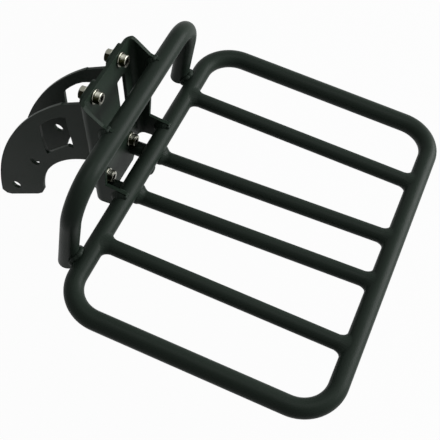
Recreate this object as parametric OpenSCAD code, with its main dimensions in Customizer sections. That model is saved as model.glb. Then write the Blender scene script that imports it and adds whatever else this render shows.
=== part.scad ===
// Tubular luggage rack with a grab hoop, a folded front bracket and two bolted wing plates.
// All lengths are in millimetres. X runs rearward along the slats, Y across, Z up.
// The origin is on the front rail's axis, midway across the rack.

/* [Luggage frame] */
// Distance between the front and rear rail axes
deck_l = 217; // [200:1:240]
// Distance between the two side bar axes
deck_w = 298; // [290:1:320]
// Outside diameter of the frame and hoop tube
tube_d = 16; // [15:0.5:17]
// Wall thickness of the frame and hoop tube
tube_wall = 1.8; // [1.2:0.1:2.2]
// Bend radius of the frame corners, on the tube axis
corner_r = 30; // [26:1:34]

/* [Slats] */
// Outside diameter of the four slats
slat_d = 13; // [12:0.5:14]
// Wall thickness of the slats
slat_wall = 1.5; // [1:0.1:2]
// Distance between each side bar and the outer slat beside it
side_gap = 63; // [60:1:67]
// Distance of the inner pair of slats from the middle
slat_in_y = 23; // [22:1:25]
// How far all four slats sit to the left of the middle
slat_shift = 1; // [0:0.25:2]
// How far the inner pair drops to pass under the front rail
slat_drop = 15; // [15:0.2:16]
// Reach of the weld fillets along the slats
fillet = 4.5; // [3:0.5:6]

/* [Grab hoop] */
// Distance between each side bar and the hoop leg beside it
hoop_inset = 44; // [42:1:46]
// Height of the hoop's top bar along its legs
hoop_h = 78; // [72:1:84]
// Bend radius of the hoop
hoop_r = 32; // [26:1:36]
// Lean of the hoop toward the rear, in degrees
hoop_lean = 5; // [4:0.5:6]
// Length of the left leg below the front rail's axis
foot_left = 1; // [0:1:12]
// Length of the right leg below the front rail's axis
foot_right = 11; // [0:1:12]

/* [Front bracket] */
// Outside width of the folded bracket
bracket_w = 85; // [82:1:88]
// Thickness of the bracket sheet
sheet = 3; // [2.5:0.1:3.5]
// Outside radius of the bracket's folds
fold_r = 8; // [6:0.5:9]
// Lean of the bracket's face toward the front, in degrees
bracket_lean = 6; // [5.5:0.25:6.5]
// Length of the bracket's face
face_l = 132; // [128:1:134]

/* [Wing plates] */
// Distance of each wing plate from the middle
wing_y = 21; // [20:0.5:22]
// Thickness of the wing plates and their lugs
wing_t = 3; // [2.5:0.5:4]
// Diameter of the wings' mounting holes
wing_hole = 9; // [7:0.5:10]
// Diameter of the four bolts
bolt_d = 6; // [5:0.5:6]

/* [Hidden] */
$fn = 96;
tube_r = tube_d / 2;
slat_r = slat_d / 2;
gap = 0.05;
touch = tube_r + gap;
half_w = deck_w / 2;
slat_out_y = half_w - side_gap;
hoop_y = half_w - hoop_inset;
straight_y = deck_w - 2 * corner_r;
straight_x = deck_l - 2 * corner_r;
in_a = atan(slat_drop / deck_l);
hoop_x = -(2 * tube_r + gap) / cos(hoop_lean);
face_x = -35.2;
face_z = 99.5;
lug_w = 25;
lug_r = 5;
bolt_y = wing_y + 0.5;
bolt_top = 8;
bolt_low = 103;
lug_edge = 7;
lug_long = 18;
lug_short = 19;
hole_r = bolt_d / 2 + 0.3;
slot_y = 19;
slot_w = 13;
slot_top = 26;
slot_low = 61;
slot_r = 2;
bead_r = 4;
washer_d = 12.4;
washer_t = 1.2;
head_d = 10;
head_h = 5;
nut_af = 10;
nut_h = 4.5;
stack_front = sheet + wing_t;
tail = stack_front + washer_t + nut_h + 0.7;

black = [0.12, 0.13, 0.12];
steel = [0.75, 0.75, 0.72];

// A straight tube along X from the origin.
module tube_x(l, r, wall) {
  rotate([0, 90, 0])
    linear_extrude(l)
      difference() {
        circle(r);
        circle(r - wall);
      }
}

// A quarter bend lying flat, centred on the bend's own axis.
module bend_flat(bend_r, r, wall) {
  rotate_extrude(angle = 90)
    translate([bend_r, 0])
      difference() {
        circle(r);
        circle(r - wall);
      }
}

// The closed luggage frame, bent from one length of tube.
module frame_loop() {
  color(black)
    union() {
      for (side = [-1, 1])
        translate([corner_r, side * half_w, 0])
          tube_x(straight_x, tube_r, tube_wall);
      for (end_x = [0, deck_l])
        translate([end_x, -straight_y / 2, 0])
          rotate([0, 0, 90])
            tube_x(straight_y, tube_r, tube_wall);
      translate([deck_l - corner_r, half_w - corner_r, 0])
        bend_flat(corner_r, tube_r, tube_wall);
      translate([corner_r, half_w - corner_r, 0])
        rotate([0, 0, 90])
          bend_flat(corner_r, tube_r, tube_wall);
      translate([corner_r, -half_w + corner_r, 0])
        rotate([0, 0, 180])
          bend_flat(corner_r, tube_r, tube_wall);
      translate([deck_l - corner_r, -half_w + corner_r, 0])
        rotate([0, 0, 270])
          bend_flat(corner_r, tube_r, tube_wall);
    }
}

// The space taken by a rail at a given distance along X.
module rail_space(x, r) {
  translate([x, -half_w + corner_r, 0])
    rotate([-90, 0, 0])
      cylinder(h = straight_y, r = r);
}

// An outer slat, saddle-cut to sit on both rails.
module outer_slat(y) {
  color(black)
    difference() {
      translate([2, y, 0])
        tube_x(deck_l - 4, slat_r, slat_wall);
      rail_space(0, touch);
      rail_space(deck_l, touch);
    }
}

// Moves its children onto an inner slat's axis, with X along the slat from the rear rail.
module on_inner_slat(y) {
  translate([deck_l, y, 0])
    rotate([0, -in_a, 0])
      mirror([1, 0, 0])
        children();
}

// An inner slat: it drops under the front rail and ends on the bracket's face.
module inner_slat(y) {
  color(black)
    difference() {
      on_inner_slat(y)
        tube_x(deck_l + 60, slat_r, slat_wall);
      rail_space(deck_l, touch);
      on_face()
        translate([-60 + gap, -200, -250])
          cube([60, 400, 400]);
    }
}

// The flared weld round a slat, pointing along X from a rail's axis.
module flare(r_bar, reach_x) {
  rotate([0, 90, 0])
    rotate_extrude()
      polygon([[r_bar + gap, 3], [r_bar + fillet * 0.9, 3], [r_bar + fillet * 0.9, reach_x],
        [r_bar + 0.35, reach_x + fillet + 1], [r_bar + gap, reach_x + fillet + 1]]);
}

// The welds where the slats meet the rails.
module slat_welds() {
  color(black)
    difference() {
      union() {
        for (side = [-1, 1]) {
          intersection() {
            translate([0, slat_shift + side * slat_out_y, 0])
              flare(slat_r, tube_r);
            translate([0, -half_w, -7])
              cube([40, deck_w, 14]);
          }
          intersection() {
            translate([deck_l, slat_shift + side * slat_out_y, 0])
              rotate([0, 0, 180])
                flare(slat_r, tube_r);
            translate([deck_l - 40, -half_w, -7])
              cube([40, deck_w, 14]);
          }
          intersection() {
            on_inner_slat(slat_shift + side * slat_in_y)
              flare(slat_r, tube_r);
            translate([deck_l - 40, -half_w, -7.4])
              cube([40, deck_w, 14]);
          }
          on_inner_slat(slat_shift + side * slat_in_y)
            translate([deck_l / cos(in_a), 0, 0])
              rotate([0, 0, 180])
                flare(slat_r, 3);
        }
      }
      rail_space(0, touch);
      rail_space(deck_l, touch);
    }
}

// Moves its children into the hoop's plane: local Z runs up the legs.
module on_hoop() {
  translate([hoop_x, 0, 0])
    rotate([0, hoop_lean, 0])
      children();
}

// How far one leg of the hoop reaches below the front rail's axis.
function foot(side) = side > 0 ? foot_left : foot_right;

// The grab hoop, bent from one length of tube.
module grab_hoop() {
  color(black)
    on_hoop()
      union() {
        for (side = [-1, 1])
          translate([0, side * hoop_y, -foot(side)])
            linear_extrude(hoop_h - hoop_r + foot(side))
              difference() {
                circle(tube_r);
                circle(tube_r - tube_wall);
              }
        translate([0, -hoop_y + hoop_r, hoop_h])
          rotate([0, 0, 90])
            tube_x(2 * (hoop_y - hoop_r), tube_r, tube_wall);
        translate([0, hoop_y - hoop_r, hoop_h - hoop_r])
          rotate([90, 0, 90])
            bend_flat(hoop_r, tube_r, tube_wall);
        translate([0, -hoop_y + hoop_r, hoop_h - hoop_r])
          rotate([90, 0, -90])
            bend_flat(hoop_r, tube_r, tube_wall);
      }
}

// The discs that close the hoop's feet.
module hoop_plugs() {
  color(black)
    on_hoop()
      for (side = [-1, 1])
        translate([0, side * hoop_y, -foot(side) - gap])
          mirror([0, 0, 1])
            union() {
              cylinder(h = 0.8, r = tube_r);
              translate([0, 0, 0.8])
                cylinder(h = 1, r1 = tube_r, r2 = tube_r - 1.2);
            }
}

// The weld beads where the hoop's feet meet the front rail.
module hoop_welds() {
  color(black)
    difference() {
      for (side = [-1, 1])
        translate([-tube_r + 0.8, side * hoop_y, bead_r + 1.5])
          sphere(r = bead_r + 0.6);
      rail_space(0, touch);
      on_hoop()
        for (side = [-1, 1])
          translate([0, side * hoop_y, -30])
            cylinder(h = 80, r = touch);
    }
}

// Moves its children onto the bracket's rear face: X rearward out of it, Z up it from its top.
module on_face() {
  translate([face_x, 0, face_z])
    rotate([0, -bracket_lean, 0])
      children();
}

// The bracket's folded section, seen along its folds.
module channel_section() {
  half = bracket_w / 2;
  difference() {
    union() {
      translate([-sheet + fold_r, -half])
        square([60, bracket_w]);
      translate([-sheet, -half + fold_r])
        square([60, bracket_w - 2 * fold_r]);
      for (side = [-1, 1])
        translate([-sheet + fold_r, side * (half - fold_r)])
          circle(fold_r);
    }
    translate([fold_r - sheet, -half + sheet])
      square([80, bracket_w - 2 * sheet]);
    translate([0, -half + fold_r])
      square([80, bracket_w - 2 * fold_r]);
    for (side = [-1, 1])
      translate([-sheet + fold_r, side * (half - fold_r)])
        circle(fold_r - sheet);
  }
}

// The bracket's outline seen from the side.
module cheek_outline() {
  difference() {
    polygon([[-60, 99.6], [-33.5, 99.6], [-17.4, 87.3], [-12.5, 86.2], [-9, 86.2], [-9, 70],
      [-15.5, 66], [-15.5, 13.2], [3, 11.5], [4, 0], [0, -9], [-5, -12.6], [-20, -12],
      [-20, -40], [-60, -40]]);
    translate([-7.5, 21.4])
      circle(8);
    translate([-7.5, 13.4])
      square([30, 60]);
    translate([-15.5, 21.4])
      square([30, 42]);
  }
}

// The bracket's outline seen from the front: the face narrows to a tab below the cheeks.
module face_outline() {
  half = bracket_w / 2;
  polygon([[-2, -half - 5], [112, -half - 5], [112, -half + fold_r], [115, -half + fold_r],
    [face_l - 2, -24], [face_l + 1, -21], [face_l + 1, 21], [face_l - 2, 24],
    [115, half - fold_r], [112, half - fold_r], [112, half + 5], [-2, half + 5]]);
}

// A plate with rounded corners, between two distances down the face.
module rounded_plate(top, low, width, corner) {
  translate([top + corner, -width / 2])
    square([low - top - 2 * corner, width]);
  translate([top, -width / 2 + corner])
    square([low - top, width - 2 * corner]);
  for (s = [top + corner, low - corner])
    for (y = [-width / 2 + corner, width / 2 - corner])
      translate([s, y])
        circle(corner);
}

// The slot through the bracket's face.
module face_slot() {
  translate([-20, slot_y, 0])
    rotate([0, 90, 0])
      linear_extrude(40)
        rounded_plate(slot_top, slot_low, slot_w, slot_r);
}

// The four bolt axes, each child pointing rearward out of the face.
module at_bolts() {
  for (side = [-1, 1])
    for (s = [bolt_top, bolt_low])
      on_face()
        translate([0, side * bolt_y, -s])
          rotate([0, 90, 0])
            children();
}

// The bracket: one sheet folded into a channel, notched for the hoop and the front rail.
module front_bracket() {
  color(black)
    difference() {
      intersection() {
        on_face()
          translate([0, 0, -face_l])
            linear_extrude(face_l)
              channel_section();
        rotate([90, 0, 0])
          translate([0, 0, -60])
            linear_extrude(120)
              cheek_outline();
        on_face()
          translate([-20, 0, 0])
            rotate([0, 90, 0])
              linear_extrude(80)
                face_outline();
      }
      rail_space(0, touch);
      on_hoop()
        translate([0, -80, hoop_h])
          rotate([-90, 0, 0])
            cylinder(h = 160, r = touch);
      on_face()
        face_slot();
      at_bolts()
        translate([0, 0, -20])
          cylinder(h = 40, r = hole_r);
    }
}

// The welds between the bracket's cheeks, the hoop and the front rail.
module bracket_welds() {
  half = bracket_w / 2;
  color(black)
    difference() {
      for (side = [-1, 1]) {
        translate([-15.2, side * (half - sheet - 1.1), 81.5])
          sphere(r = bead_r);
        translate([-2.5, side * (half - sheet - 1.1), tube_r + 1.5])
          sphere(r = bead_r - 0.4);
        translate([-2.5, side * (half + 1.1), tube_r + 1.5])
          sphere(r = bead_r - 0.4);
      }
      rail_space(0, touch);
      on_hoop()
        translate([0, -80, hoop_h])
          rotate([-90, 0, 0])
            cylinder(h = 160, r = touch);
      for (side = [-1, 1])
        translate([-60, side * (half - sheet / 2) - sheet / 2 - gap, -40])
          cube([120, sheet + 2 * gap, 200]);
    }
}

// The outline of a wing plate seen from the side.
module wing_outline() {
  arc_x = 71.9;
  arc_z = -89.4;
  arc_r = 206.9;
  in_x = -13.5;
  in_z = -61.9;
  in_r = 75.3;
  difference() {
    intersection() {
      translate([arc_x, arc_z])
        circle(arc_r, $fn = 240);
      polygon([[-20, 77], [-46, 77], [-63, 66.5], [-92, 60], [-150, 0], [-150, -86], [-135.6, -94.5],
        [-130.2, -97.6], [-125, -96], [-95.5, -76.5], [-91, -72], [-89, -66], [-60, -40], [-20, -40]]);
    }
    translate([in_x, in_z])
      circle(in_r, $fn = 160);
    polygon([[-60.5, 16], [-54.8, 16.3], [-59.6, 43], [-60.6, 52.6], [-64, 51], [-68, 48.6],
      [-73.8, 43.6], [-79.4, 37.2], [-83.4, 31.8], [-86.4, 26.4], [-85.4, 12], [-81.6, -7.2]]);
    translate([-94.6, -26.5])
      circle(wing_hole / 2);
    translate([-118, -76.7])
      circle(wing_hole / 2);
  }
}

// A wing plate on one side, cut off along the front of its lugs.
module wing_plate(side) {
  color(black)
    difference() {
      rotate([90, 0, 0])
        translate([0, 0, -side * wing_y - wing_t / 2])
          linear_extrude(wing_t)
            wing_outline();
      on_face()
        translate([-stack_front - 2 * gap, -60, -180])
          cube([80, 120, 200]);
    }
}

// A lug: the bolted foot of a wing plate, against the front of the bracket's face.
module lug(side, s_top, s_low, s_bolt) {
  color(black)
    on_face()
      translate([-stack_front - gap, side * bolt_y, 0])
        rotate([0, 90, 0])
          linear_extrude(wing_t)
            difference() {
              rounded_plate(s_top, s_low, lug_w, lug_r);
              translate([s_bolt, 0])
                circle(hole_r);
            }
}

// The socket head bolts.
module bolts() {
  color(steel)
    at_bolts()
      difference() {
        union() {
          translate([0, 0, washer_t + 2 * gap])
            cylinder(h = head_h - 0.8, r = head_d / 2);
          translate([0, 0, washer_t + 2 * gap + head_h - 0.8])
            cylinder(h = 0.8, r1 = head_d / 2, r2 = head_d / 2 - 0.8);
          translate([0, 0, -tail])
            cylinder(h = tail + washer_t + 2, r = bolt_d / 2);
        }
        translate([0, 0, washer_t + head_h - 3])
          cylinder(h = 6, r = 2.9, $fn = 6);
      }
}

// The washers under the bolt heads.
module head_washers() {
  color(steel)
    at_bolts()
      translate([0, 0, gap])
        difference() {
          cylinder(h = washer_t, r = washer_d / 2);
          translate([0, 0, -1])
            cylinder(h = 6, r = bolt_d / 2 + 0.2);
        }
}

// The washers under the nuts.
module nut_washers() {
  color(steel)
    at_bolts()
      translate([0, 0, -stack_front - 2 * gap - washer_t])
        difference() {
          cylinder(h = washer_t, r = washer_d / 2);
          translate([0, 0, -1])
            cylinder(h = 6, r = bolt_d / 2 + 0.2);
        }
}

// The hexagon nuts.
module nuts() {
  color(steel)
    at_bolts()
      translate([0, 0, -stack_front - 3 * gap - washer_t - nut_h])
        difference() {
          intersection() {
            cylinder(h = nut_h, r = nut_af / 2 / cos(30), $fn = 6);
            cylinder(h = nut_h, r1 = nut_af / 2 + 0.1, r2 = nut_af / 2 + 0.1 + nut_h);
          }
          translate([0, 0, -1])
            cylinder(h = nut_h + 2, r = bolt_d / 2 + 0.05);
        }
}

frame_loop();
outer_slat(slat_shift + slat_out_y);  // slat_1
inner_slat(slat_shift + slat_in_y);  // slat_2
inner_slat(slat_shift - slat_in_y);  // slat_3
outer_slat(slat_shift - slat_out_y);  // slat_4
slat_welds();
grab_hoop();
hoop_plugs();
hoop_welds();
front_bracket();
bracket_welds();
wing_plate(1);  // wing_plate_left
wing_plate(-1);  // wing_plate_right
lug(1, bolt_top - lug_edge, bolt_top + lug_long, bolt_top);  // lug_left_top
lug(1, bolt_low - lug_short, bolt_low + lug_edge + 3, bolt_low);  // lug_left_low
lug(-1, bolt_top - lug_edge, bolt_top + lug_long, bolt_top);  // lug_right_top
lug(-1, bolt_low - lug_short, bolt_low + lug_edge + 3, bolt_low);  // lug_right_low
bolts();
head_washers();
nut_washers();
nuts();
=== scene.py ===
"""Looks of the luggage rack: powder coat, weld beads, threaded fasteners, light and camera."""

import math
from functools import partial

import bpy
from mathutils import Matrix, Vector


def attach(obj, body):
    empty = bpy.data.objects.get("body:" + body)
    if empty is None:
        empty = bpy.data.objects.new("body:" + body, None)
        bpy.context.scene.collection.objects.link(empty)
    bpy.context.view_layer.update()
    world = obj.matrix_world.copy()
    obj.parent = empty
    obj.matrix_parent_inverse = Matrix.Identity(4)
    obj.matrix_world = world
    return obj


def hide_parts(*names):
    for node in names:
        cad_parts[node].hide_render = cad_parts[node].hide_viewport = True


# Sizes repeated from the part's source, in metres.
MM = 0.001
RAIL_R = 8 * MM
SLAT_R = 6.5 * MM
DECK_L = 217 * MM
SLAT_SHIFT = 1 * MM
SLAT_OUT = 86 * MM
SLAT_IN = 23 * MM
SLAT_DROP = 15 * MM
HOOP_Y = 105 * MM
HOOP_H = 78 * MM
HOOP_LEAN = math.radians(5)
BRACKET_HALF = 42.5 * MM
SHEET = 3 * MM
WING_T = 3 * MM
FACE_X = -35.2 * MM
FACE_Z = 99.5 * MM
FACE_LEAN = math.radians(6)
BOLT_Y = 21.5 * MM
BOLT_TOP = 8 * MM
BOLT_LOW = 103 * MM
BOLT_R = 3 * MM
HEAD_R = 5 * MM
HEAD_H = 5 * MM
WASHER_R = 6.2 * MM
WASHER_T = 1.2 * MM
NUT_H = 4.5 * MM
NUT_AF = 10 * MM
GAP = 0.05 * MM

# Sizes of the scene alone.
FLOOR_Z = -98.5 * MM
SOCKET_AF = 4.5 * MM
# How deep a slat weld's hidden root lies in the tubes that it joins.
WELD_ROOT = 0.4 * MM
# Edges that turn more than this stay sharp.
FASTENER_CREASE = math.radians(32)
WELD_CREASE = math.radians(60)

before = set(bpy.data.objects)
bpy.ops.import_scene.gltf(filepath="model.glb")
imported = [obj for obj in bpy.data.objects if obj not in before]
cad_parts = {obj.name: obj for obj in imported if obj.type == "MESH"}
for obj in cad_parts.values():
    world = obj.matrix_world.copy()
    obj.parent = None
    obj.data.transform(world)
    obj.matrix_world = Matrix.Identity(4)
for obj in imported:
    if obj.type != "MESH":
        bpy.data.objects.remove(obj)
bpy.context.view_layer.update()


# Small helpers


def full_turn(count):
    """Evenly spaced angles round a circle."""
    return [2 * math.pi * j / count for j in range(count)]


def ripple(t, pitch, height):
    """The height of a weld bead's round scallops, with sharp valleys, at a distance along it."""
    roundness = 0.6
    return height * abs(math.sin(math.pi * t / pitch)) ** roundness


def mesh_object(name, verts, faces, finishes, finish_of_face):
    """Makes a smooth mesh piece that rides on the rack's one body."""
    mesh = bpy.data.meshes.new(name)
    mesh.from_pydata([tuple(v) for v in verts], [], faces)
    for material in finishes:
        mesh.materials.append(material)
    mesh.polygons.foreach_set("material_index", finish_of_face)
    mesh.update()
    mesh.shade_smooth()
    piece = bpy.data.objects.new(name, mesh)
    bpy.context.collection.objects.link(piece)
    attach(piece, "root")
    return piece


def grid_faces(rows, cols, start, wrap_rows):
    """Quads over rings of vertices stored one ring after another."""
    faces = []
    for i in range(rows if wrap_rows else rows - 1):
        for j in range(cols):
            a = start + i * cols + j
            b = start + i * cols + (j + 1) % cols
            c = start + ((i + 1) % rows) * cols + (j + 1) % cols
            d = start + ((i + 1) % rows) * cols + j
            faces.append((a, b, c, d))
    return faces


class Build:
    """Collects the vertices and faces of one piece made of several closed forms."""

    def __init__(self):
        self.verts = []
        self.faces = []
        self.finish_of_face = []

    def grid(self, rows, wrap_rows=False, bands=None):
        """Adds rings that all have the same number of points. bands gives each band's finish."""
        start = len(self.verts)
        cols = len(rows[0])
        for row in rows:
            self.verts.extend(row)
        made = grid_faces(len(rows), cols, start, wrap_rows)
        self.faces += made
        for i in range(len(made) // cols):
            self.finish_of_face += [bands[i] if bands else 0] * cols

    def cap(self, ring, flip=False, finish=0):
        """Closes a ring of points with a fan to its middle."""
        start = len(self.verts)
        count = len(ring)
        self.verts.extend(ring)
        self.verts.append(sum((Vector(p) for p in ring), Vector()) / count)
        for j in range(count):
            pair = (start + j, start + (j + 1) % count)
            if flip:
                pair = pair[::-1]
            self.faces.append((*pair, start + count))
        self.finish_of_face += [finish] * count

    def piece(self, name, finishes, node):
        """Turns what was collected into a piece that stands for a CAD node."""
        made = mesh_object(name, self.verts, self.faces, finishes, self.finish_of_face)
        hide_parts(node)
        return made


# Materials


def node_material(name):
    """A fresh node material, with its nodes, links and shader."""
    material = bpy.data.materials.new(name)
    material.use_nodes = True
    tree = material.node_tree
    return material, tree.nodes, tree.links, tree.nodes["Principled BSDF"]


def noise(nodes, links, scale, detail, rough=0.5):
    """Noise over the object's own coordinates, in metres."""
    place = nodes.new("ShaderNodeTexCoord")
    texture = nodes.new("ShaderNodeTexNoise")
    texture.inputs["Scale"].default_value = scale
    texture.inputs["Detail"].default_value = detail
    texture.inputs["Roughness"].default_value = rough
    links.new(place.outputs["Object"], texture.inputs["Vector"])
    return texture.outputs["Fac"]


def map_range(nodes, links, source, source_span, span):
    """Maps one range of values onto another and holds it at the ends."""
    node = nodes.new("ShaderNodeMapRange")
    node.inputs["From Min"].default_value, node.inputs["From Max"].default_value = source_span
    node.inputs["To Min"].default_value, node.inputs["To Max"].default_value = span
    links.new(source, node.inputs["Value"])
    return node.outputs["Result"]


def blend_colours(nodes, links, source, one, two):
    """Mixes two colours by a value."""
    mix = nodes.new("ShaderNodeMix")
    mix.data_type = "RGBA"
    mix.inputs["A"].default_value = (*one, 1)
    mix.inputs["B"].default_value = (*two, 1)
    links.new(source, mix.inputs["Factor"])
    return mix.outputs["Result"]


def bump(nodes, links, height, depth, normal=None):
    """A bump of a real depth in metres."""
    node = nodes.new("ShaderNodeBump")
    node.inputs["Strength"].default_value = 1.0
    node.inputs["Distance"].default_value = depth
    links.new(height, node.inputs["Height"])
    if normal is not None:
        links.new(normal, node.inputs["Normal"])
    return node.outputs["Normal"]


# Most of a noise lies in this range.
NOISE_SPAN = (0.3, 0.7)


def powder_coat(name, dark, light, edge=0.0):
    """Satin black powder coat: fine orange peel, uneven sheen, and rounded edges on sheet."""
    material, nodes, links, shader = node_material(name)
    patches = noise(nodes, links, scale=24, detail=3)
    peel = noise(nodes, links, scale=900, detail=2)
    grit = noise(nodes, links, scale=3200, detail=2, rough=0.7)
    sheen = map_range(nodes, links, patches, NOISE_SPAN, (0.37, 0.47))
    links.new(blend_colours(nodes, links, patches, dark, light), shader.inputs["Base Color"])
    links.new(sheen, shader.inputs["Roughness"])
    shader.inputs["Specular IOR Level"].default_value = 0.07
    normal = None
    if edge:
        bevel = nodes.new("ShaderNodeBevel")
        bevel.samples = 6
        bevel.inputs["Radius"].default_value = edge
        normal = bevel.outputs["Normal"]
    normal = bump(nodes, links, peel, 0.06 * MM, normal)
    normal = bump(nodes, links, grit, 0.012 * MM, normal)
    links.new(normal, shader.inputs["Normal"])
    return material


def facing_up(nodes, links):
    """A value that rises from 0 to 1 over the last part of a surface's turn to face upward. It is
    the mask for painted light on top and painted shade below.
    """
    surface = nodes.new("ShaderNodeNewGeometry")
    parts = nodes.new("ShaderNodeSeparateXYZ")
    links.new(surface.outputs["Normal"], parts.inputs["Vector"])
    return map_range(nodes, links, parts.outputs["Z"], (0.82, 0.985), (0, 1))


def zinc_plate(name, dark, light, rough, painted_top_light=False):
    """Zinc-plated steel with fine wear and a bloom. With the painted light switch set, painted
    light on upward parts and painted shade on the rest replace the bloom.
    """
    material, nodes, links, shader = node_material(name)
    # Painted light: with the switch set, the colour follows which way the surface faces, light on
    # top and painted shade below, in place of a random bloom.
    bloom_or_painted_light = facing_up(nodes, links) if painted_top_light else noise(nodes, links, scale=260, detail=4)
    wear = noise(nodes, links, scale=2600, detail=3, rough=0.6)
    sheen = map_range(nodes, links, wear, NOISE_SPAN, (rough, rough + 0.16))
    links.new(blend_colours(nodes, links, bloom_or_painted_light, dark, light), shader.inputs["Base Color"])
    shader.inputs["Metallic"].default_value = 1.0
    links.new(sheen, shader.inputs["Roughness"])
    links.new(bump(nodes, links, wear, 0.02 * MM), shader.inputs["Normal"])
    return material


TUBE_COAT = powder_coat("tube_coat", (0.0138, 0.0204, 0.0157), (0.0184, 0.0267, 0.0207))
SHEET_COAT = powder_coat("sheet_coat", (0.0128, 0.0212, 0.0150), (0.0172, 0.0276, 0.0198),
                         edge=0.45 * MM)

# The fasteners' finishes: sides, flat faces, the socket's inside, and threads with nuts. The sides
# and the threads with nuts are painted light where they face up and painted shade below, and the
# threads and nuts are darker overall. The socket's inside is painted dark as the shade in its
# recess.
SIDE, FACE, SOCKET_SHADE, NUT_THREAD = range(4)
ZINC_FINISHES = (
    zinc_plate("zinc_side", (0.032, 0.033, 0.014), (0.50, 0.50, 0.43), 0.28, painted_top_light=True),
    zinc_plate("zinc_face", (0.23, 0.23, 0.19), (0.43, 0.43, 0.37), 0.20),
    zinc_plate("zinc_socket_shade", (0.012, 0.012, 0.010), (0.035, 0.034, 0.028), 0.40),
    zinc_plate("zinc_nut_thread", (0.007, 0.007, 0.004), (0.22, 0.22, 0.18), 0.26, painted_top_light=True),
)

COATED_TUBES = (
    "frame_loop", "slat_1", "slat_2", "slat_3", "slat_4", "grab_hoop", "hoop_plugs",
    "slat_welds", "hoop_welds", "bracket_welds",
)
COATED_SHEET = (
    "front_bracket", "wing_plate_left", "wing_plate_right",
    "lug_left_top", "lug_left_low", "lug_right_top", "lug_right_low",
)
PLATED = ("bolts", "head_washers", "nut_washers", "nuts")


def dress(names, material):
    """Gives CAD nodes their material."""
    for name in names:
        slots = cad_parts[name].data.materials
        slots.clear()
        slots.append(material)


dress(COATED_TUBES, TUBE_COAT)
dress(COATED_SHEET, SHEET_COAT)
dress(PLATED, ZINC_FINISHES[SIDE])


# Welds


def saddle_fillet(build, origin, along, centre_y, tilt):
    """A concave weld round a slat that butts against a rail. Its last ring is hidden in the tubes.

    origin is the rail's x, along is 1 or -1 for the way the slat leaves it, tilt is its slope.
    """
    around = 120
    across = 9
    # How far the weld reaches over each tube, less above and below the slat and more beside it.
    reach_rail = 3.6 * MM
    reach_slat = 5.4 * MM
    pinch = 0.35
    flare = 1.15
    # How far the weld's middle stands out of the corner, from 0 to 1.
    fill = 0.3
    skin = 0.12 * MM
    pitch = 1.7 * MM
    lump = 0.16 * MM
    root_r = SLAT_R - WELD_ROOT

    def weld_point(t, angle, seat):
        """A point of the weld's surface, from the rail at t = 0 to the slat at t = 1."""
        side, up = math.cos(angle), math.sin(angle)
        spread = reach_rail * (1 - pinch * up * up)
        on_rail_angle = math.asin(SLAT_R * up / RAIL_R) + spread * up / RAIL_R
        on_rail = Vector((RAIL_R * math.cos(on_rail_angle),
                          (SLAT_R + spread * flare) * side,
                          RAIL_R * math.sin(on_rail_angle)))
        on_slat = seat + Vector((reach_slat, 0, 0))
        corner = seat.lerp((on_rail + on_slat) / 2, fill)
        point = on_rail * (1 - t) ** 2 + corner * 2 * t * (1 - t) + on_slat * t * t
        scallop = ripple(angle * SLAT_R, pitch, lump) * math.sin(math.pi * t)
        outward = Vector((0.35, side, up)).normalized()
        return point + outward * (skin + scallop)

    rows = []
    for i in range(across + 1):
        row = []
        for angle in full_turn(around):
            side, up = math.cos(angle), math.sin(angle)
            seat_x = math.sqrt(RAIL_R ** 2 - (SLAT_R * up) ** 2)
            if i == across:
                point = Vector((seat_x - WELD_ROOT, root_r * side, root_r * up))
            else:
                seat = Vector((seat_x, SLAT_R * side, SLAT_R * up))
                point = weld_point(i / (across - 1), angle, seat)
            point.z -= tilt * point.x
            row.append(Vector((origin + along * point.x, centre_y + point.y, point.z)))
        rows.append(row if along > 0 else row[::-1])
    build.grid(rows, wrap_rows=True)


def under_rail_weld(build, centre_y, tilt):
    """The weld that fills the corners between the front rail and a slat that passes under it.

    Its first and last rings are hidden in the slat. tilt is the slat's slope.
    """
    around = 96
    steps = 37
    # The weld keeps its full height over the flat part and ends at the reach, either way in x.
    reach = 12.0 * MM
    flat = 6.4 * MM
    mound = 4.4 * MM
    skin = 0.04 * MM
    pitch = 1.9 * MM
    lump = 0.22 * MM
    # How far the weld goes round below the slat's middle, as a share of its radius.
    below = 0.3
    rows = []
    for i in range(-1, steps + 1):
        x = reach * min(1, max(-1, 2 * i / (steps - 1) - 1))
        slope = min(1.0, (reach - abs(x)) / (reach - flat)) ** 2
        row = []
        for angle in full_turn(around):
            if i in (-1, steps):
                radius = SLAT_R - WELD_ROOT
            else:
                high = max(0.0, (math.sin(angle) + below) / (1 + below)) ** 0.5
                scallop = ripple(angle * SLAT_R, pitch, lump) * math.sin(math.pi * slope)
                radius = SLAT_R + skin + mound * slope * high + scallop * high
            row.append(Vector((x, centre_y + radius * math.cos(angle),
                               -SLAT_DROP + radius * math.sin(angle) + tilt * x)))
        rows.append(row)
    build.grid(rows, wrap_rows=True)


def tack_weld(build, centre, half):
    """A small lump of weld, half as long each way as half says."""
    rings = 13
    around = 32
    uneven = 0.08
    rows = []
    for i in range(rings):
        polar = math.pi * (i + 0.5) / rings
        row = []
        for angle in full_turn(around):
            swell = 1 + uneven * math.sin(3 * angle) * math.sin(2 * polar)
            row.append(centre + Vector((half.x * math.sin(polar) * math.cos(angle) * swell,
                                        half.y * math.cos(polar) * swell,
                                        half.z * math.sin(polar) * math.sin(angle) * swell)))
        rows.append(row)
    build.grid(rows)
    build.cap(rows[0], flip=True)
    build.cap(rows[-1])


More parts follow.
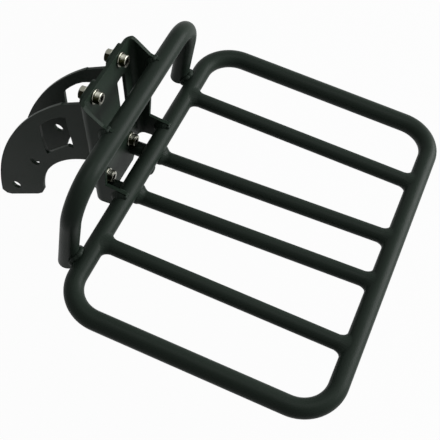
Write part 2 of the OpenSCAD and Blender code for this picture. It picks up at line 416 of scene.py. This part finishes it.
def bead_on_path(build, path, radius, pitch, lumps=0.17, closed=False):
    """A rippled bead of weld along a path of points. An open one narrows over its end points."""
    around = 14
    end_points = 8
    end_size = 0.25
    count = len(path)
    rows = []
    travelled = 0.0
    for i, point in enumerate(path):
        before = path[i - 1] if i or closed else point
        after = path[(i + 1) % count] if i < count - 1 or closed else point
        if i:
            travelled += (point - path[i - 1]).length
        run = (after - before).normalized()
        # Each ring starts on its rearward side, unless the path runs nearly rearward itself.
        out = run.orthogonal().normalized()
        if abs(run.x) < 0.95:
            out = (Vector((1, 0, 0)) - run * run.x).normalized()
        other = run.cross(out)
        size = radius * (1.05 - lumps + ripple(travelled, pitch, lumps))
        if not closed:
            from_end = min(i, count - 1 - i)
            size *= min(1.0, end_size + 1.6 * math.sqrt(from_end / end_points))
        rows.append([point + (out * math.cos(a) + other * math.sin(a)) * size
                     for a in full_turn(around)])
    build.grid(rows, wrap_rows=closed)
    if not closed:
        build.cap(rows[0], flip=True)
        build.cap(rows[-1])


def slat_weld_beads():
    """The welds at both ends of the four slats."""
    build = Build()
    tilt = SLAT_DROP / DECK_L
    for sign in (-1, 1):
        outer = SLAT_SHIFT + sign * SLAT_OUT
        inner = SLAT_SHIFT + sign * SLAT_IN
        saddle_fillet(build, 0, 1, outer, 0)
        saddle_fillet(build, DECK_L, -1, outer, 0)
        saddle_fillet(build, DECK_L, -1, inner, tilt)
        under_rail_weld(build, inner, tilt)
    tack_weld(build, Vector((6.5, 0, -3.6)) * MM, Vector((2.2, 5.0, 2.4)) * MM)
    return build.piece("slat_weld_beads", (TUBE_COAT,), "slat_welds")


def hoop_weld_beads():
    """The bead round each foot of the hoop, where it touches the front rail.

    The left foot ends just below the rail's axis, so its bead is an arc that is open below.
    """
    build = Build()
    ring = 6.0 * MM
    # How far the ring bends along the two crossing tubes.
    saddle = 1.35 * MM
    steps = 64
    for sign, first, last in ((1, -12, 192), (-1, 0, 360)):
        closed = last - first == 360
        path = []
        for i in range(steps if closed else steps + 1):
            angle = math.radians(first + (last - first) * i / steps)
            y = ring * math.cos(angle)
            z = ring * math.sin(angle)
            x = -RAIL_R - saddle * math.cos(2 * angle) + math.tan(HOOP_LEAN) * z / 2
            path.append(Vector((x, sign * HOOP_Y + y, z)))
        bead_on_path(build, path, 3.2 * MM, pitch=4.4 * MM, lumps=0.2, closed=closed)
    return build.piece("hoop_weld_beads", (TUBE_COAT,), "hoop_welds")


def fillet_weld(build, centre_x, centre_z, y, side, first, last):
    """A fillet of weld in the corner between a cheek and a tube, swept round the tube.

    side is 1 or -1 for the way the weld grows in y, first and last are degrees round the tube.
    """
    steps = 44
    across = 8
    full_leg = 3.4 * MM
    scallops = 9
    root = 0.3 * MM
    middle = Vector((centre_x, y, centre_z))
    rows = []
    for i in range(steps + 1):
        share = i / steps
        angle = math.radians(first + (last - first) * share)
        out = Vector((math.cos(angle), 0, math.sin(angle)))
        taper = min(1.0, 0.15 + 1.5 * math.sqrt(min(share, 1 - share)))
        leg = full_leg * taper * (0.9 + ripple(share, 1 / scallops, 0.14))
        row = [middle + out * (RAIL_R - root) - Vector((0, side * root, 0))]
        for k in range(across):
            t = k / (across - 1)
            belly = 0.10 * math.sin(math.pi * t)
            row.append(middle + out * (RAIL_R + leg * (1 - t + belly))
                       + Vector((0, side * leg * (t + belly), 0)))
        rows.append(row if side > 0 else row[::-1])
    build.grid(rows)
    build.cap(rows[0], flip=True)
    build.cap(rows[-1])


def tip_bead(build, centre_x, centre_z, sign, angle):
    """The short bead across a cheek's edge, where its notch begins on the tube."""
    steps = 12
    bead = 1.9 * MM
    reach = RAIL_R + 0.4 * MM
    x = centre_x + reach * math.cos(angle)
    z = centre_z + reach * math.sin(angle)
    path = []
    for i in range(steps + 1):
        inward = (SHEET + 2 * bead) * i / steps
        path.append(Vector((x, sign * (BRACKET_HALF + bead - inward), z)))
    bead_on_path(build, path, bead, pitch=3.1 * MM)


def bracket_weld_beads():
    """The welds along the bracket's cheeks, on the hoop's top bar and on the front rail."""
    build = Build()
    hoop_x = -(2 * RAIL_R + GAP) / math.cos(HOOP_LEAN) + HOOP_H * math.sin(HOOP_LEAN)
    hoop_z = HOOP_H * math.cos(HOOP_LEAN)
    # A tube's axis, and the degrees round it between which a cheek's notch touches the tube.
    seats = ((hoop_x, hoop_z, 112, 240), (0.0, 0.0, 66, 190))
    outside = BRACKET_HALF + GAP
    inside = BRACKET_HALF - SHEET - GAP
    for sign in (-1, 1):
        for centre_x, centre_z, first, last in seats:
            fillet_weld(build, centre_x, centre_z, sign * outside, sign, first, last)
            fillet_weld(build, centre_x, centre_z, sign * inside, -sign, first, last)
            tip_bead(build, centre_x, centre_z, sign, math.radians(first + 8))
    return build.piece("bracket_weld_beads", (TUBE_COAT,), "bracket_welds")


# Fasteners


def face_matrix(side, down):
    """Stands a bolt on the bracket's face: local Z points rearward out of it."""
    face = Matrix.Translation((FACE_X, 0, FACE_Z)) @ Matrix.Rotation(-FACE_LEAN, 4, "Y")
    bolt = Matrix.Translation((0, side * BOLT_Y, -down)) @ Matrix.Rotation(math.pi / 2, 4, "Y")
    return face @ bolt


def loft(build, place, profile, bands, around=96):
    """Lofts rings round Z. An entry is a height and a radius, or the radius's function of angle."""
    rows = []
    for height, radius in profile:
        row = []
        for angle in full_turn(around):
            size = radius(angle) if callable(radius) else radius
            row.append(place @ Vector((size * math.cos(angle), size * math.sin(angle), height)))
        rows.append(row)
    build.grid(rows, bands=bands)
    return rows


def hexagon(across_flats, angle):
    """A hexagon's radius in one direction."""
    sixth = math.pi / 3
    return across_flats / 2 / math.cos((angle + sixth / 2) % sixth - sixth / 2)


def knurled_head(angle):
    """The head's radius in one direction, with fine upright grooves."""
    grooves = 40
    return HEAD_R - 0.13 * MM * (0.5 + 0.5 * math.cos(angle * grooves))


def socket_head(build, place, base):
    """A bolt's knurled head with rounded edges and a hexagon socket."""
    top = base + HEAD_H
    soft = 0.35 * MM
    socket = partial(hexagon, SOCKET_AF)
    mouth = partial(hexagon, SOCKET_AF + 0.4 * MM)
    profile = (
        (base, BOLT_R),
        (base, HEAD_R - soft),
        (base + soft, HEAD_R),
        (base + 0.6 * MM, HEAD_R),
        (base + 0.8 * MM, knurled_head),
        (top - 1.0 * MM, knurled_head),
        (top - 0.8 * MM, HEAD_R),
        (top - soft, HEAD_R - 0.12 * MM),
        (top - 0.08 * MM, HEAD_R - 0.45 * MM),
        (top, HEAD_R - 0.9 * MM),
        (top, mouth),
        (top - 0.3 * MM, socket),
        (top - 3 * MM, socket),
    )
    # The socket's inside and its floor get a near black finish: painted shade in the recess.
    bands = [SIDE] * 7 + [FACE] * 3 + [SOCKET_SHADE] * 2
    rows = loft(build, place, profile, bands, around=160)
    build.cap(rows[0], flip=True)
    build.cap(rows[-1], finish=SOCKET_SHADE)


def rolled_thread(build, place, low, high):
    """A bolt's thread between two heights. Its free end, the low one, narrows."""
    pitch = 1.0 * MM
    depth = 0.34 * MM
    lead_in = 0.8 * MM
    narrowing = 0.6 * MM
    length = high - low
    steps = int(length / pitch * 8)

    def thread(height, angle):
        """The thread's radius at a height in one direction."""
        phase = (height / pitch - angle / (2 * math.pi)) % 1.0
        end = min(1.0, (height - low) / lead_in)
        return min(BOLT_R - depth * abs(2 * phase - 1), BOLT_R - narrowing * (1 - end))

    heights = [low + length * i / steps for i in range(steps + 1)]
    profile = [(height, partial(thread, height)) for height in heights]
    rows = loft(build, place, profile, [NUT_THREAD] * steps, around=48)
    build.cap(rows[0], flip=True, finish=NUT_THREAD)
    build.cap(rows[-1], finish=NUT_THREAD)


def socket_bolt(build, place):
    """A socket head bolt. Its thread runs on a little way inside the head."""
    base = WASHER_T + 2 * GAP
    tail = SHEET + WING_T + WASHER_T + NUT_H + 0.7 * MM
    socket_head(build, place, base)
    rolled_thread(build, place, -tail, base + 0.2 * MM)


def hex_nut(build, place):
    """A hexagon nut with both faces chamfered and a countersunk bore."""
    low = -(SHEET + WING_T + 3 * GAP + WASHER_T + NUT_H)
    high = low + NUT_H
    flat = NUT_AF / 2
    corner = flat / math.cos(math.pi / 6) - 0.15 * MM
    face = flat - 0.25 * MM
    bore = BOLT_R + 0.05 * MM
    sink = 0.5 * MM
    rises = (0.05 * MM, 0.25 * MM, 0.5 * MM, 0.8 * MM)

    def chamfered(rise, angle):
        """The side's radius in one direction, at a distance from the nearer face."""
        cone = flat - 0.1 * MM + rise / math.tan(math.radians(30))
        return min(hexagon(NUT_AF, angle), cone, corner)

    profile = [(low, bore + sink), (low, face)]
    profile += [(low + rise, partial(chamfered, rise)) for rise in rises]
    profile += [(high - rise, partial(chamfered, rise)) for rise in reversed(rises)]
    profile += [(high, face), (high, bore + sink), (high - sink, bore), (low + sink, bore),
                (low, bore + sink)]
    loft(build, place, profile, [NUT_THREAD] * (len(profile) - 1), around=120)


def plain_washer(build, place, low):
    """A stamped washer with rolled edges."""
    high = low + WASHER_T
    soft = 0.28 * MM
    corner = 0.1 * MM
    bore = BOLT_R + 0.2 * MM
    profile = (
        (low, bore + soft),
        (low, WASHER_R - soft),
        (low + corner, WASHER_R - corner),
        (low + soft, WASHER_R),
        (high - soft, WASHER_R),
        (high - corner, WASHER_R - corner),
        (high, WASHER_R - soft),
        (high, bore + soft),
        (high - soft, bore),
        (low + soft, bore),
        (low, bore + soft),
    )
    loft(build, place, profile, [SIDE, FACE, FACE, SIDE, FACE, FACE, FACE, SIDE, SIDE, SIDE])


def fasteners():
    """The four bolts with their nuts and washers."""
    sets = {name: Build() for name in PLATED}
    for side in (-1, 1):
        for down in (BOLT_TOP, BOLT_LOW):
            place = face_matrix(side, down)
            socket_bolt(sets["bolts"], place)
            plain_washer(sets["head_washers"], place, GAP)
            plain_washer(sets["nut_washers"], place, -(SHEET + WING_T + 2 * GAP + WASHER_T))
            hex_nut(sets["nuts"], place)
    for name, build in sets.items():
        made = build.piece(name + "_detailed", ZINC_FINISHES, name)
        made.data.set_sharp_from_angle(angle=FASTENER_CREASE)


for made in (slat_weld_beads(), hoop_weld_beads(), bracket_weld_beads()):
    made.data.set_sharp_from_angle(angle=WELD_CREASE)
fasteners()


# Stage, light and camera


def seen_directly(nodes, links):
    """A value that is 1 for camera, glossy and transmission rays."""
    path = nodes.new("ShaderNodeLightPath")
    total = path.outputs["Is Camera Ray"]
    for name in ("Is Glossy Ray", "Is Transmission Ray"):
        higher = nodes.new("ShaderNodeMath")
        higher.operation = "MAXIMUM"
        links.new(total, higher.inputs[0])
        links.new(path.outputs[name], higher.inputs[1])
        total = higher.outputs[0]
    return total


def pale_floor():
    """A plain floor under the rack that reads as white and keeps a faint shadow."""
    half = 3.0
    # How much of what is seen is the glow. The rest is the grey surface that takes the shadow.
    glow_share = 0.97
    material, nodes, links, shader = node_material("pale_floor")
    shader.inputs["Base Color"].default_value = (0.3, 0.3, 0.3, 1)
    shader.inputs["Roughness"].default_value = 0.9
    shader.inputs["Specular IOR Level"].default_value = 0.1
    glow = nodes.new("ShaderNodeEmission")
    glow.inputs["Strength"].default_value = 1.0
    share = nodes.new("ShaderNodeMath")
    share.operation = "MULTIPLY"
    share.inputs[1].default_value = glow_share
    links.new(seen_directly(nodes, links), share.inputs[0])
    mix = nodes.new("ShaderNodeMixShader")
    links.new(share.outputs[0], mix.inputs["Fac"])
    links.new(shader.outputs[0], mix.inputs[1])
    links.new(glow.outputs[0], mix.inputs[2])
    links.new(mix.outputs[0], nodes["Material Output"].inputs["Surface"])
    corners = [(x * half, y * half, FLOOR_Z) for x, y in ((-1, -1), (1, -1), (1, 1), (-1, 1))]
    mesh = bpy.data.meshes.new("floor")
    mesh.from_pydata(corners, [], [(0, 1, 2, 3)])
    mesh.materials.append(material)
    floor = bpy.data.objects.new("floor", mesh)
    bpy.context.collection.objects.link(floor)


def studio_world():
    """White where it is seen or mirrored, and a weaker even fill for the rest."""
    world = bpy.data.worlds.new("studio")
    bpy.context.scene.world = world
    world.use_nodes = True
    nodes, links = world.node_tree.nodes, world.node_tree.links
    fill = nodes["Background"]
    fill.inputs["Color"].default_value = (0.9, 1.0, 0.95, 1)
    fill.inputs["Strength"].default_value = 0.04
    seen = nodes.new("ShaderNodeBackground")
    seen.inputs["Color"].default_value = (1, 1, 1, 1)
    seen.inputs["Strength"].default_value = 1.0
    mix = nodes.new("ShaderNodeMixShader")
    links.new(seen_directly(nodes, links), mix.inputs["Fac"])
    links.new(fill.outputs[0], mix.inputs[1])
    links.new(seen.outputs[0], mix.inputs[2])
    links.new(mix.outputs[0], nodes["World Output"].inputs["Surface"])


def soft_box(name, place, size, power):
    """A square white area light that looks at the rack."""
    target = Vector((0.05, 0.0, 0.03))
    lamp = bpy.data.lights.new(name, "AREA")
    lamp.shape = "SQUARE"
    lamp.size = size
    lamp.energy = power
    box = bpy.data.objects.new(name, lamp)
    box.location = place
    box.rotation_euler = (target - box.location).to_track_quat("-Z", "Y").to_euler()
    bpy.context.collection.objects.link(box)


def photo_camera():
    """The camera that was fitted to the photograph."""
    place = (0.189034, -0.426910, 0.632171)
    right = Vector((0.91494735, 0.39289971, 0.09220181))
    down = Vector((0.37667333, -0.7493633, -0.54458411))
    ahead = Vector((-0.14487429, 0.53299574, -0.8336228))
    data = bpy.data.cameras.new("photo_camera")
    data.lens = 75.51
    data.sensor_width = 36
    data.clip_start = 0.01
    camera = bpy.data.objects.new("photo_camera", data)
    turned = Matrix((right, -down, -ahead)).transposed().to_4x4()
    camera.matrix_world = Matrix.Translation(place) @ turned
    bpy.context.collection.objects.link(camera)
    bpy.context.scene.camera = camera


pale_floor()
studio_world()
soft_box("key", (0.98, 0.70, 0.46), size=0.9, power=21)
soft_box("top", (0.15, 0.04, 1.27), size=0.8, power=4.5)
photo_camera()
bpy.context.scene.view_settings.view_transform = "Standard"
